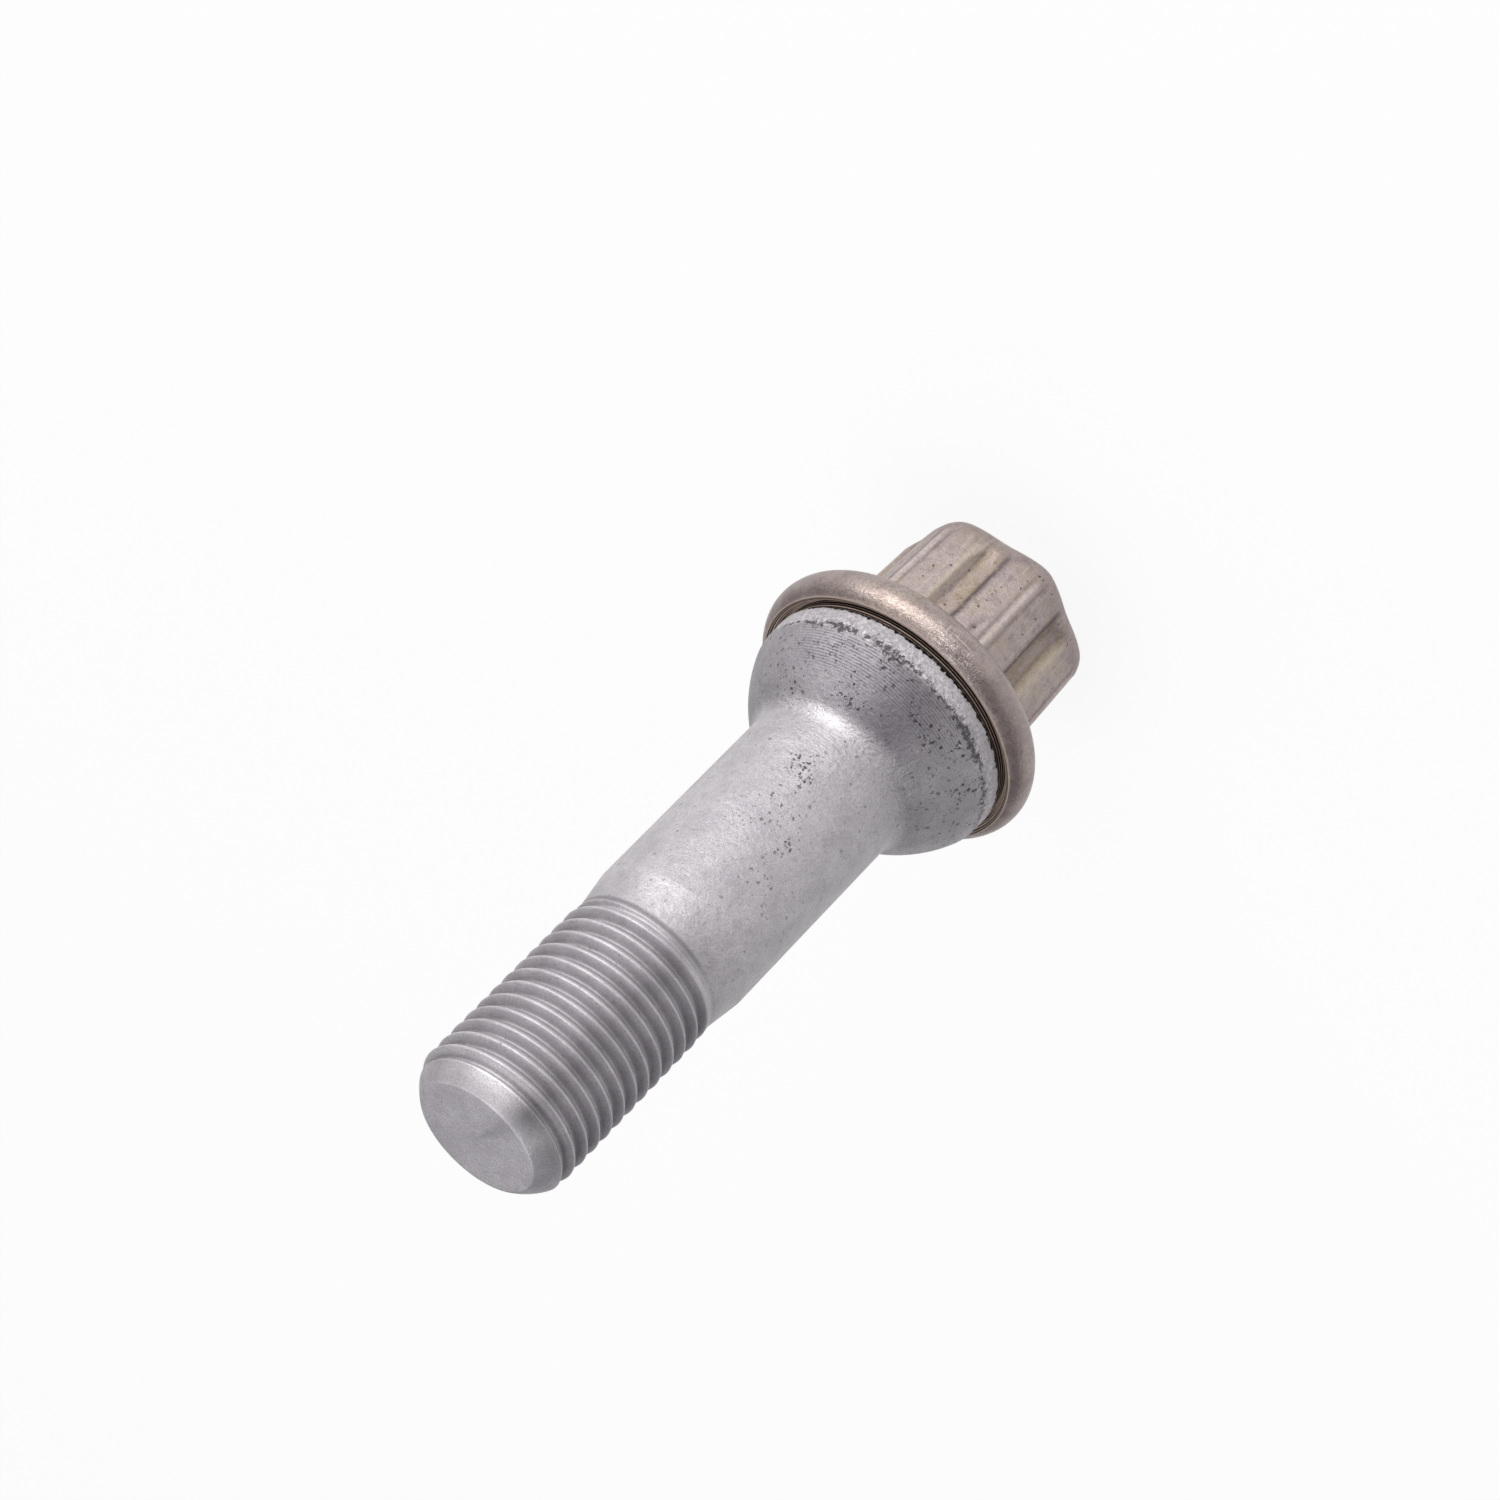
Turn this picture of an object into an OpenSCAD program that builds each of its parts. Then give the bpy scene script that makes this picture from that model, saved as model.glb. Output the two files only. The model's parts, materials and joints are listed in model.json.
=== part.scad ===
// Wheel bolt with a ball seat and a sheet-metal cap pressed over its lobed head.
// It stands on the end face of its head: Z runs up the axis to the thread's tip, and a lobe lies on +X.

/* [Thread] */
// Diameter over the thread's crests
thread_d = 13.86; // [13.7:0.02:14]
// Diameter of the flat face at the tip
tip_d = 10.7; // [9:0.1:12]
// Length of the rounded lead-in at the tip
tip_len = 2.1; // [1:0.1:3]
// Radius of the rounded lead-in's section
tip_crown_r = 5.5; // [4:0.1:12]
// Diameter of the relief groove behind the thread
relief_d = 13.5; // [12:0.1:13.6]
// Width of the relief groove's floor
relief_w = 0.9; // [0.5:0.1:2]

/* [Shank] */
// Diameter of the plain shank
shank_d = 14.4; // [14.1:0.05:15]
// Length from the seat's outer edge to the tip
reach = 51.75; // [45:0.25:60]
// Distance from the seat's outer edge to the end of the plain shank
plain_end = 28; // [22:0.5:34]
// Length of the cone between the plain shank and the relief groove
shoulder_len = 3.2; // [1:0.1:5]

/* [Ball seat] */
// Radius of the ball that the seat is part of
ball_r = 12; // [11.9:0.1:14]
// Diameter of the seat's outer edge
seat_d = 22.8; // [22.4:0.1:23]
// Diameter where the ball meets the edge band
band_d = 22.66; // [22:0.02:22.7]
// Width of the edge band
band_w = 1.9; // [1:0.1:2.5]
// Radius of the fillet between the ball and the shank
fillet_r = 2; // [1:0.1:3]

/* [Flange] */
// Outer diameter of the cap's flange
flange_d = 26.1; // [25:0.1:28]
// Radius of the flange's rolled rim
roll_r = 2; // [1.5:0.1:2.1]
// Radius inside the lip that is turned in under the flange
lip_r = 11.55; // [11.5:0.05:11.7]
// Height of the seat's outer edge above the lip's innermost step
lip_drop = 0.65; // [0.3:0.05:0.8]
// Width of each step on the lip
step_w = 0.24; // [0.1:0.02:0.3]
// Height of each step on the lip
step_h = 0.15; // [0.05:0.01:0.2]

/* [Head] */
// Height from the head's end face to the seat's outer edge
head_h = 16.95; // [15:0.05:20]
// Number of lobes that the wrench grips
lobe_count = 6; // [6]
// Radius over the lobes' crests
crest_r = 9.02; // [9:0.02:9.04]
// Radius of one lobe's section
lobe_r = 4.36; // [4.34:0.02:4.38]
// Radius of the hub between the lobes
hub_r = 8.1; // [8.08:0.02:8.12]
// Radius of the rounded edge round the end face
end_r = 2.1; // [2:0.1:2.1]
// Radius of the flute between two lobes
flute_r = 1.35; // [1.3:0.05:1.4]
// Least distance from the axis to the flute's floor
flute_floor = 7.25; // [7.2:0.05:7.3]
// Distance from the end face to the flute's rounded end
flute_end = 2.2; // [2.1:0.1:2.4]

/* [Cap] */
// Thickness of the cap's sheet
sheet = 0.6; // [0.4:0.05:0.8]
// Gap between the cap's walls and the bolt's head
slack = 0.05; // [0.02:0.01:0.1]

/* [Hidden] */
$fn = 96;

overlap = 1;
rim_drop = 0.1;
neck_gap = 0.35;
neck_chamfer = 0.2;
thread_chamfer = 0.3;
zinc_grey = [0.70, 0.70, 0.73];
nickel_brown = [0.60, 0.53, 0.49];

total_h = head_h + reach;
lobe_turn = 360 / lobe_count;
lobe_c = crest_r - lobe_r;
flute_c = flute_floor + flute_r;

// Flange: the rim is rolled round roll_c, and the lip is turned in over the bolt's own flange.
roll_c = [flange_d / 2 - roll_r, head_h - roll_r - rim_drop];
lip_z = head_h - lip_drop;
lip_under = lip_z - sheet;
lip_edge = lip_r + 2 * step_w;

// Bolt under the cap: its own flange is held between the lip and the cap's back.
neck_r = lip_r - neck_gap;
core_roll_r = roll_r - sheet - slack;

// Seat: the ball passes through the band's edge, and the fillet touches the ball and the shank.
band_top = head_h + band_w;
ball_z = band_top - sqrt(pow(ball_r, 2) - pow(band_d / 2, 2));
fillet_c = [shank_d / 2 + fillet_r, ball_z + sqrt(pow(ball_r + fillet_r, 2) - pow(shank_d / 2 + fillet_r, 2))];
fillet_foot = [0, ball_z] + [fillet_c.x, fillet_c.y - ball_z] * ball_r / (ball_r + fillet_r);

shoulder_z = head_h + plain_end;
relief_z = shoulder_z + shoulder_len;
thread_z = relief_z + relief_w;
tip_z = total_h - tip_len;
tip_c = arc_centre([thread_d / 2, tip_z], [tip_d / 2, total_h], tip_crown_r);

// Centre of the arc of radius r from a to b that bulges away from the axis
function arc_centre(a, b, r) =
    let (chord = b - a, half = norm(chord) / 2, side = [chord.y, -chord.x] / norm(chord))
    (a + b) / 2 - side * sqrt(r * r - half * half);

// A post along Z with a rounded edge round its lower end
module rounded_post(r, edge, bottom, top) {
    rotate_extrude() {
        polygon([[0, bottom], [r - edge, bottom], [r - edge, bottom + edge], [r, bottom + edge], [r, top], [0, top]]);
        translate([r - edge, bottom + edge]) circle(r = edge);
    }
}

// The lobed form that the wrench grips, with every wall moved in by inset. The flutes end before the rounded edge.
module drive(inset, bottom, top) {
    difference() {
        union() {
            rounded_post(hub_r - inset, end_r - inset, bottom, top);
            for (i = [0:lobe_count - 1]) rotate(i * lobe_turn) translate([lobe_c, 0, 0])
                rounded_post(lobe_r - inset, end_r - inset, bottom, top);
        }
        for (i = [0:lobe_count - 1]) rotate((i + 0.5) * lobe_turn) translate([flute_c, 0, flute_end + flute_r]) {
            sphere(r = flute_r + inset);
            cylinder(r = flute_r + inset, h = top);
        }
    }
}

// Section of the thread, relief, shoulder, shank and neck, from the tip down to the bolt's flange
module stem_section() {
    intersection() {
        polygon([
            [0, head_h], [shank_d / 2, head_h], [shank_d / 2, shoulder_z],
            [relief_d / 2, relief_z], [relief_d / 2, thread_z], [thread_d / 2, thread_z + thread_chamfer],
            [thread_d / 2, total_h], [0, total_h]
        ]);
        union() {
            square([flange_d, tip_z]);
            translate(tip_c) circle(r = tip_crown_r);
        }
    }
}

// Section of the ball seat with its edge band and the fillet that runs into the shank
module seat_section() {
    polygon([
        [0, roll_c.y], [neck_r, roll_c.y], [neck_r, head_h - neck_chamfer], [seat_d / 2, head_h],
        [band_d / 2, band_top], [0, band_top]
    ]);
    intersection() {
        translate([0, ball_z]) circle(r = ball_r);
        translate([0, band_top]) square([ball_r, ball_r]);
    }
    difference() {
        polygon([[0, band_top], [fillet_foot.x - overlap, band_top], fillet_foot, [shank_d / 2, fillet_c.y], [0, fillet_c.y]]);
        translate(fillet_c) circle(r = fillet_r);
    }
}

// Section of a flange whose rim is rolled round roll_c, up to the plane at top
module rolled_flange_section(r, top) {
    intersection() {
        union() {
            translate([0, roll_c.y - r]) square([roll_c.x, 2 * r]);
            translate(roll_c) circle(r = r);
        }
        square([flange_d, top]);
    }
}

module bolt() {
    color(zinc_grey) {
        rotate_extrude() {
            stem_section();
            seat_section();
            rolled_flange_section(core_roll_r, lip_under);
        }
        drive(sheet + slack, sheet, roll_c.y);
    }
}

module head_cap() {
    color(nickel_brown) difference() {
        union() {
            rotate_extrude() difference() {
                rolled_flange_section(roll_r, head_h);
                translate([0, lip_z]) square([lip_r + step_w, roll_r]);
                translate([0, lip_z + step_h]) square([lip_edge, roll_r]);
            }
            drive(0, 0, roll_c.y);
        }
        rotate_extrude() {
            rolled_flange_section(roll_r - sheet, lip_under);
            translate([0, roll_c.y]) square([lip_r, roll_r + overlap]);
        }
        drive(sheet, sheet, roll_c.y);
    }
}

bolt();
head_cap();
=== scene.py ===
"""Looks of the wheel bolt.

A detailed piece for each CAD node, on a pale floor in soft studio light, seen by the photo's camera.
"""

import json
import math

import bmesh
import bpy
import numpy as np
from mathutils import Matrix, Vector, noise


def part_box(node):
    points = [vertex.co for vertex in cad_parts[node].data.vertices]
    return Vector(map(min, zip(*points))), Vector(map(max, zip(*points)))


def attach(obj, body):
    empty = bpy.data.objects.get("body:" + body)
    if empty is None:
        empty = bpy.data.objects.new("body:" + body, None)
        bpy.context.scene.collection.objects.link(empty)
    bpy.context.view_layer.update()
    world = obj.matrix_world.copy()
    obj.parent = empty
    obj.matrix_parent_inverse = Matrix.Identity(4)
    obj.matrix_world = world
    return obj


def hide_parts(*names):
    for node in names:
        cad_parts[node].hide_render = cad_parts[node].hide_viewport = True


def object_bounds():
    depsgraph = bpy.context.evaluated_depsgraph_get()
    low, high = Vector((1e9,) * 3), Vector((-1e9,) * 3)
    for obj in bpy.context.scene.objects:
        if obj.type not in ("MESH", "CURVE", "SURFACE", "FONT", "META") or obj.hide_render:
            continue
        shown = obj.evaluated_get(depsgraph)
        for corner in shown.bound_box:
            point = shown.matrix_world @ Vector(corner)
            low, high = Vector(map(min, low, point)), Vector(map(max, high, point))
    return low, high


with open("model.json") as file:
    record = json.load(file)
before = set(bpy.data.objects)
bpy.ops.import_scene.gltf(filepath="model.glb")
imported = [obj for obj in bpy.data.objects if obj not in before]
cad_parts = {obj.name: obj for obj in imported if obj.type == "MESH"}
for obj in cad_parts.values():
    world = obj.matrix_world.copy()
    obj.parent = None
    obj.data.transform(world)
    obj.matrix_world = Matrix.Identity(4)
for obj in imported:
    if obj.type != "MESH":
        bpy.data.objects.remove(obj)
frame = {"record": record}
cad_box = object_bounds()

MM = 0.001
MOUNTS = {m["name"]: m for m in frame["record"]["mounts"]}
THREAD = MOUNTS["thread"]

# Stem, in millimetres. What the frame doesn't hold repeats the CAD source's dimensions.
THREAD_R = THREAD["dims"]["r_mm"]
THREAD_LENGTH = THREAD["dims"]["length_mm"]
THREAD_LOW = THREAD["pos_m"][2] / MM - THREAD_LENGTH / 2
TIP_Z = THREAD_LOW + THREAD_LENGTH
SHANK_R = MOUNTS["shank"]["dims"]["r_mm"]
TOTAL_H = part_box("bolt")[1].z / MM
TIP_FACE_R = 5.35
TIP_CROWN_R = 5.5
TIP_EDGE_R = 0.35
TIP_EDGE_FLAT = 1.2
RELIEF_R = 6.75
RELIEF_Z = 48.15
SHOULDER_Z = 44.95
SHOULDER_EDGE = 0.3

# Thread: metric and right-hand, with one crest at CREST_Z on the +X side. Its groove deepens over RUN_OUT,
# and its crests grow out of the relief groove over CREST_GROWTH. Its mesh's rows start ROWS_START above the
# groove's lower end, and end where the lead-in is END_MARGIN smaller than the thread's floor.
PITCH = 1.5
THREAD_DEPTH = 0.68
CREST_Z = 65.96
RUN_OUT = 1.1
CREST_GROWTH = 0.6
ROWS_START = 0.25
END_MARGIN = 0.03
ROWS_A_TURN = 16

# Ball seat, edge band and neck
HEAD_H = 16.95
BALL_R = 12.0
BAND_TOP = 18.85
BAND_TOP_R = 11.33
BAND_EDGE = 0.12
SEAT_R = 11.4
NECK_R = 11.2
NECK_CHAMFER = 0.2
FILLET_R = 2.0
FILLET_X = SHANK_R + FILLET_R
BALL_Z = BAND_TOP - math.sqrt(BALL_R**2 - BAND_TOP_R**2)
FILLET_CENTRE = (FILLET_X, BALL_Z + math.sqrt((BALL_R + FILLET_R) ** 2 - FILLET_X**2))
SEAT_TOP_DEG = math.degrees(math.atan2(FILLET_CENTRE[1] - BALL_Z, FILLET_CENTRE[0]))
SEAT_LOW_DEG = math.degrees(math.atan2(BAND_TOP - BALL_Z, BAND_TOP_R))

# How deep the edge band is chewed along its lower and its upper edge, and how far from the edge this goes.
# The noise that does it has about JAGS_AROUND jags to a radian and JAGS_ALONG to a millimetre of height.
CHEWED_LOW = (0.07, 0.12)
CHEWED_TOP = (0.05, 0.10)
JAGS_AROUND = 20
JAGS_ALONG = 3

# Cap's flange and its turned-in, stepped lip
FLANGE_R = min(-cad_box[0].x, cad_box[1].x) / MM
ROLL_R = 2.0
ROLL_CENTRE = (FLANGE_R - ROLL_R, 14.85)
FLANGE_BACK = ROLL_CENTRE[1] - ROLL_R
SHEET = 0.6
SLACK = 0.05
INNER = SHEET + SLACK
LIP_R = 11.55
LIP_Z = 16.3
LIP_UNDER = LIP_Z - SHEET
LIP_STEPS = 4
LIP_RISE = 0.29
LIP_OUTER_R = 12.03
LIP_EDGE = 0.04
LIP_STEP_LEAN = 0.01
LIP_INSIDE = 0.3

# Lobed, fluted head. LOBED_R holds the outline's mean radius and the sizes of the waves on it. The wall
# leans out by LEAN for each millimetre above the rounded edge.
LOBES = 6
LOBE_TURN = 2 * math.pi / LOBES
LOBED_R = (8.6, 0.41, 0.02, 0.015)
END_R = 2.5
LEAN = 0.04
BASE_FILLET = 0.35

# Flute: its radius, the distance of its axis, where its nose starts and how fast that closes, how soft its
# edge is, and how steeply it rises beyond its own circle
FLUTE_R = 1.6
FLUTE_DISTANCE = 9.2
FLUTE_NOSE_Z = 4.7
FLUTE_NOSE_SLOPE = 0.62
FLUTE_EDGE = 0.16
FLUTE_SIDE = 6.0

# Ridge along each lobe's crest, and the heights between which it fades in
RIDGE_H = 0.16
RIDGE_HALF = 0.42
RIDGE_END = (2.3, 4.0)

# Mesh: the vertices in each ring, and how near a ring may follow the end of the thread
BOLT_COLUMNS = 256
CAP_COLUMNS = 384
CLOSEST_RINGS = 0.02


def arc(centre, radius, start_deg, end_deg, steps):
    """Points (r, z) on an arc, both ends included."""
    turn = np.radians(np.linspace(start_deg, end_deg, steps + 1))
    return np.stack([centre[0] + radius * np.cos(turn), centre[1] + radius * np.sin(turn)], 1)


def line(start, end, steps):
    """Points (r, z) on a straight stretch, both ends included."""
    return np.linspace(start, end, steps + 1)


def rounded(corners, radius, steps=3):
    """The corners joined by straight stretches, with each inner corner rounded off."""
    corners = [np.array(c, float) for c in corners]
    points = [corners[0]]
    for before, corner, after in zip(corners, corners[1:], corners[2:]):
        reach = min(radius, 0.45 * np.linalg.norm(before - corner), 0.45 * np.linalg.norm(after - corner))
        a = corner + (before - corner) / np.linalg.norm(before - corner) * reach
        b = corner + (after - corner) / np.linalg.norm(after - corner) * reach
        for t in np.linspace(0, 1, steps + 1):
            points.append((1 - t) ** 2 * a + 2 * t * (1 - t) * corner + t**2 * b)
    points.append(corners[-1])
    return np.array(points)


def joined(*stretches):
    """One profile from stretches that start where the last one ended."""
    return np.concatenate([stretches[0]] + [s[1:] for s in stretches[1:]])


def smooth(low, high, value):
    """0 below low, 1 above high, and an even S between them."""
    t = np.clip((np.asarray(value, float) - low) / (high - low), 0, 1)
    return t * t * (3 - 2 * t)


def lobed_outline(angle):
    """Radius of the lobed head's outer wall at these angles, without its flutes."""
    return sum(size * np.cos(k * LOBES * angle) for k, size in enumerate(LOBED_R))


def off_crest(angle):
    """How far these angles lie from the nearest lobe's crest."""
    return np.abs((angle + LOBE_TURN / 2) % LOBE_TURN - LOBE_TURN / 2)


def fluted(wall, angle, z, inset=0.0):
    """The wall's radius at height z, leaning outwards and cut by a round-ended flute between each two lobes.

    inset moves the flute's wall in.
    """
    lean = LEAN * max(z - END_R, 0)
    wall = wall + lean
    radius = FLUTE_R + inset
    reach = radius**2 - (FLUTE_NOSE_SLOPE * max(FLUTE_NOSE_Z - z, 0)) ** 2
    if reach <= 0:
        return wall
    distance = FLUTE_DISTANCE + lean
    turn = LOBE_TURN / 2 - off_crest(angle)
    half = distance * np.abs(np.sin(turn))
    beyond = np.maximum(half - math.sqrt(reach), 0)
    floor = distance * np.cos(turn) - np.sqrt(np.maximum(reach - half**2, 0)) + FLUTE_SIDE * beyond
    blend = np.clip(0.5 + 0.5 * (floor - wall) / FLUTE_EDGE, 0, 1)
    return floor + (wall - floor) * blend - FLUTE_EDGE * blend * (1 - blend)


def ridge(angle, z):
    """Height of the thin ridge along each lobe's crest."""
    across = off_crest(angle) * sum(LOBED_R)
    return RIDGE_H * (1 - smooth(0, RIDGE_HALF, across)) * float(smooth(*RIDGE_END, z))


def even_angles(count):
    """Angles that stand evenly along the head's outline, so that steep flute walls get enough columns."""
    fine = np.linspace(0, 2 * np.pi, 60 * count + 1)
    radius = fluted(lobed_outline(fine), fine, FLUTE_NOSE_Z)
    x, y = radius * np.cos(fine), radius * np.sin(fine)
    length = np.concatenate([[0], np.cumsum(np.hypot(np.diff(x), np.diff(y)))])
    return np.interp(np.linspace(0, length[-1], count + 1)[:-1], length, fine)


class Drive:
    """The head's lobed outline and its parallel curves."""

    def __init__(self):
        self.fine = np.linspace(0, 2 * np.pi, 721)[:-1]
        self.radius = lobed_outline(self.fine)
        self.points = np.stack([self.radius * np.cos(self.fine), self.radius * np.sin(self.fine)], 1)
        self.known = {}

    def inset(self, angle, distance):
        """Radius at each angle of the curve this far inside the outline, or outside it where negative."""
        key = (len(angle), round(distance, 6))
        if key not in self.known:
            wall = np.interp(angle, self.fine, self.radius, period=2 * np.pi)
            self.known[key] = wall if abs(distance) < 1e-9 else self.search(angle, wall, distance)
        return self.known[key]

    def search(self, angle, wall, distance):
        """Halves the stretch of each ray that holds the parallel curve, until it is found."""
        low, high = (wall - 3 * distance, wall) if distance > 0 else (wall, wall - 3 * distance)
        ray = np.stack([np.cos(angle), np.sin(angle)], 1)
        for _ in range(16):
            middle = (low + high) / 2
            gap = np.linalg.norm((ray * middle[:, None])[:, None] - self.points[None], axis=2).min(1)
            inner = gap > abs(distance) if distance > 0 else gap < abs(distance)
            low, high = np.where(inner, middle, low), np.where(inner, high, middle)
        return (low + high) / 2


drive = Drive()


class Shell:
    """A closed mesh made of rings round the Z axis, from one pole to the other.

    Seen along the path, the outer side is on the right.
    """

    def __init__(self, angle):
        self.angle = angle
        self.points, self.faces = [], []
        self.last = None

    def add(self, x, y, z):
        start = len(self.points)
        self.points.extend(zip(x, y, z))
        return np.arange(start, len(self.points))

    def ring(self, radius, z):
        """The vertices of a new ring, not joined to anything yet."""
        radius = np.broadcast_to(radius, self.angle.shape)
        z = np.broadcast_to(z, self.angle.shape)
        return self.add(radius * np.cos(self.angle), radius * np.sin(self.angle), z)

    def to(self, ring):
        """Joins the last ring to this one."""
        if self.last is not None:
            for a, b, c, d in zip(self.last, np.roll(self.last, -1), np.roll(ring, -1), ring):
                self.faces.append((a, b, c, d))
        self.last = ring

    def row(self, radius, z):
        """A new ring, joined to the last one."""
        self.to(self.ring(radius, z))

    def rows(self, profile):
        for radius, z in profile:
            self.row(radius, z)

    def fan(self, centre, at_end):
        """Closes the mesh between a pole and the last ring. at_end is False where the path starts."""
        for a, b in zip(self.last, np.roll(self.last, -1)):
            self.faces.append((a, b, centre) if at_end else (b, a, centre))

    def open(self, z, outline, shares):
        """Starts at a pole, with a ring at each of these shares of the outline's radius."""
        centre = self.add([0], [0], [z])[0]
        self.row(shares[0] * outline, z)
        self.fan(centre, False)
        for share in shares[1:]:
            self.row(share * outline, z)

    def close(self, z, outline, shares):
        """Ends at a pole, past a ring at each of these shares of the outline's radius."""
        for share in shares:
            self.row(share * outline, z)
        centre = self.add([0], [0], [z])[0]
        self.fan(centre, True)

    def piece(self, name):
        """The mesh in metres as a new smooth object, with doubled points merged."""
        points = [tuple(c * MM for c in p) for p in self.points]
        faces = [tuple(map(int, f)) for f in self.faces]
        mesh = bpy.data.meshes.new(name)
        mesh.from_pydata(points, [], faces)
        work = bmesh.new()
        work.from_mesh(mesh)
        bmesh.ops.remove_doubles(work, verts=work.verts, dist=1e-8)
        work.to_mesh(mesh)
        work.free()
        mesh.shade_smooth()
        return link(bpy.data.objects.new(name, mesh))


def link(made):
    bpy.context.scene.collection.objects.link(made)
    return made


def thread_cut(phase):
    """Depth of the thread's rounded groove where phase is 0 on one crest and 1 on the next."""
    return THREAD_DEPTH * math.sin(math.pi * phase) ** 2


def tip_profile():
    """The rounded lead-in from the thread to the edge of the tip's face, as points (r, z)."""
    low, high = np.array([THREAD_R, TIP_Z]), np.array([TIP_FACE_R, TOTAL_H])
    chord = high - low
    side = np.array([chord[1], -chord[0]]) / np.linalg.norm(chord)
    centre = (low + high) / 2 - side * math.sqrt(TIP_CROWN_R**2 - (np.linalg.norm(chord) / 2) ** 2)
    start, end = (math.degrees(math.atan2(*(point - centre)[::-1])) for point in (low, high))
    crown = arc(centre, TIP_CROWN_R, start, end, 24)
    # The rounded corner takes the place of the crown's last three points.
    corner = rounded([crown[-4], high, high - [TIP_EDGE_FLAT, 0]], TIP_EDGE_R, 5)
    return joined(crown[:-3], corner)


def add_thread(shell, tip):
    """The helical thread from the relief groove up into the lead-in, on rows that follow the helix.

    Returns the height where it ends.
    """
    top = np.interp(THREAD_R - THREAD_DEPTH - END_MARGIN, tip[::-1, 0], tip[::-1, 1])
    low_z = RELIEF_Z + ROWS_START
    share = np.arange(BOLT_COLUMNS) / BOLT_COLUMNS
    first = math.floor((low_z - CREST_Z) / PITCH - 1) * ROWS_A_TURN
    last = math.ceil((top - CREST_Z) / PITCH) * ROWS_A_TURN
    rows = []
    for row in range(first, last + 1):
        phase = row / ROWS_A_TURN
        z = np.clip(CREST_Z + PITCH * (phase + share), low_z, top)
        lead_in = np.interp(z, tip[:, 1], tip[:, 0], left=THREAD_R)
        swell = RELIEF_R + (THREAD_R - RELIEF_R) * smooth(low_z, THREAD_LOW + CREST_GROWTH, z)
        crest = np.where(z < TIP_Z, swell, lead_in)
        grown = smooth(low_z, low_z + RUN_OUT, z)
        radius = np.minimum(crest, THREAD_R - thread_cut(phase) * grown)
        radius = np.where(z <= low_z, RELIEF_R, radius)
        rows.append(shell.ring(radius, z))
    join_helix(shell, rows)
    return top


def join_helix(shell, rows):
    """Joins rows that each end one turn of the thread higher than they start."""
    shell.to(rows[0])
    ends = len(rows) - 1
    for j in range(ends):
        here, above = rows[j], rows[j + 1]
        for i in range(BOLT_COLUMNS - 1):
            shell.faces.append((here[i], here[i + 1], above[i + 1], above[i]))
        turned = rows[min(j + ROWS_A_TURN, ends)][0], rows[min(j + 1 + ROWS_A_TURN, ends)][0]
        shell.faces.append((here[-1], turned[0], turned[1], above[-1]))
    shell.last = rows[-1]


def band_jag(angle, z):
    """How far the edge band's surface strays at each angle, in millimetres."""
    (low_depth, low_reach), (top_depth, top_reach) = CHEWED_LOW, CHEWED_TOP
    chew = math.exp(-(((z - HEAD_H) / low_reach) ** 2)) * low_depth
    seam = math.exp(-(((z - BAND_TOP) / top_reach) ** 2)) * top_depth
    if chew + seam < 1e-3:
        return np.zeros(len(angle))
    at = [Vector((JAGS_AROUND * math.cos(a), JAGS_AROUND * math.sin(a), JAGS_ALONG * z)) for a in angle]
    return np.array([(chew + seam) * (noise.noise(p) + 0.5 * noise.noise(p * 2.3) - 0.5) for p in at])


def seat_profile():
    """The neck, edge band, ball and fillet, up to the plain shank."""
    ball_start = SEAT_LOW_DEG + 1
    ball = arc((0, BALL_Z), BALL_R, ball_start, SEAT_TOP_DEG, 40)
    corners = [(NECK_R, HEAD_H - NECK_CHAMFER), (SEAT_R, HEAD_H), (BAND_TOP_R, BAND_TOP), ball[0]]
    fillet = arc(FILLET_CENTRE, FILLET_R, 180 + SEAT_TOP_DEG, 180, 12)
    return joined(rounded(corners, BAND_EDGE, 4), ball, fillet)


def add_bolt_head(shell):
    """The lobed, fluted head inside the cap, and the flange that the cap's lip holds."""
    angle = shell.angle
    corner = END_R - INNER
    shell.open(SHEET, drive.inset(angle, END_R), (0.35, 0.7))
    for turn in np.linspace(0, math.pi / 2, 7):
        shell.row(drive.inset(angle, END_R - corner * math.sin(turn)), SHEET + corner * (1 - math.cos(turn)))
    for z in np.linspace(END_R, FLANGE_BACK + INNER, 5)[1:]:
        shell.row(fluted(drive.inset(angle, INNER), angle, z, INNER), z)
    rim_deg = math.degrees(math.asin((LIP_UNDER - ROLL_CENTRE[1]) / (ROLL_R - INNER)))
    shell.rows(arc(ROLL_CENTRE, ROLL_R - INNER, -90, rim_deg, 8))
    shell.row(NECK_R, LIP_UNDER)


def build_bolt():
    shell = Shell(np.arange(BOLT_COLUMNS) * 2 * np.pi / BOLT_COLUMNS)
    add_bolt_head(shell)
    for radius, z in seat_profile():
        shell.row(radius + band_jag(shell.angle, z), z)

    shank_end, shoulder = (SHANK_R, SHOULDER_Z - SHOULDER_EDGE), (SHANK_R, SHOULDER_Z)
    relief = [(RELIEF_R, RELIEF_Z), (RELIEF_R, RELIEF_Z + ROWS_START)]
    shell.rows(line((SHANK_R, FILLET_CENTRE[1]), shank_end, 16)[1:])
    shell.rows(rounded([shank_end, shoulder, *relief], SHOULDER_EDGE)[1:-1])

    tip = tip_profile()
    top = add_thread(shell, tip)
    shell.rows([p for p in tip if p[1] > top + CLOSEST_RINGS])
    shell.close(TOTAL_H, tip[-1][0], (0.8, 0.5, 0.2))
    return shell.piece("wheel_bolt_body")


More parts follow.
